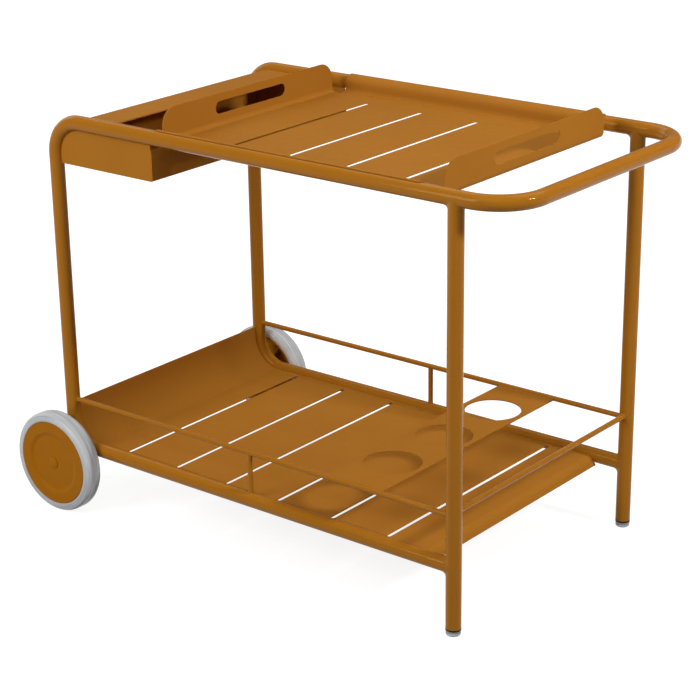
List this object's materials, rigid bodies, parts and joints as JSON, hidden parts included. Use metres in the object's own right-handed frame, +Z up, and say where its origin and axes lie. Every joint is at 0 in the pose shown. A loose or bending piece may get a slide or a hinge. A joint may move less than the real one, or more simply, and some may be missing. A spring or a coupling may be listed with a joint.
{
  "type": "serving cart",
  "caption": "Powder-coated tube-frame serving cart with a lift-off slotted tray, a bin, a lower shelf with guard rods and a bottle rack, rolling on grey-tyred wheels",
  "frame": {"origin": "Middle of the cart's footprint on the floor, below the centre of its overall box.", "axes": "+X points to the push handle along the cart's length, +Y to the right as seen by the person who pushes, +Z up."},
  "size_m": [1.0245, 0.594, 0.734],
  "materials": {
    "powder_coat": "satin",
    "hub_plastic": "satin",
    "grey_tyre": "matte",
    "black_plastic": "matte",
    "clear_plastic": "gloss",
    "plain_steel": "brushed"
  },
  "bodies": {
    "cart": {"left_side_tube": "powder_coat", "right_side_tube": "powder_coat", "push_handle": "powder_coat", "left_front_leg": "powder_coat", "right_front_leg": "powder_coat", "left_foot_insert": "black_plastic", "right_foot_insert": "black_plastic", "left_foot_glide": "clear_plastic", "right_foot_glide": "clear_plastic", "lower_shelf": "powder_coat", "left_guard_rod": "powder_coat", "right_guard_rod": "powder_coat", "end_guard_rod": "powder_coat", "left_guard_post": "powder_coat", "right_guard_post": "powder_coat", "bottle_rack": "powder_coat", "bin_sheet": "powder_coat", "left_bin_end": "powder_coat", "right_bin_end": "powder_coat", "left_axle_lug": "powder_coat", "right_axle_lug": "powder_coat", "axle": "plain_steel", "left_axle_spacer": "black_plastic", "right_axle_spacer": "black_plastic", "left_axle_washer": "plain_steel", "right_axle_washer": "plain_steel", "left_axle_cap": "hub_plastic", "right_axle_cap": "hub_plastic"},
    "tray": {"tray": "powder_coat"},
    "left_wheel": {"left_wheel_hub": "hub_plastic", "left_tyre": "grey_tyre", "left_hub_bush": "black_plastic"},
    "right_wheel": {"right_wheel_hub": "hub_plastic", "right_tyre": "grey_tyre", "right_hub_bush": "black_plastic"}
  },
  "joints": [
    {"name": "tray_lift", "type": "slide", "parent": "cart", "child": "tray", "axis": [0, 0, 1], "range_m": [0, 0.3]},
    {"name": "left_wheel_spin", "type": "hinge", "parent": "cart", "child": "left_wheel", "pos_m": [-0.42225, -0.2805, 0.09], "axis": [0, 1, 0], "continuous": true},
    {"name": "right_wheel_spin", "type": "hinge", "parent": "cart", "child": "right_wheel", "pos_m": [-0.42225, 0.2805, 0.09], "axis": [0, 1, 0], "continuous": true}
  ]
}
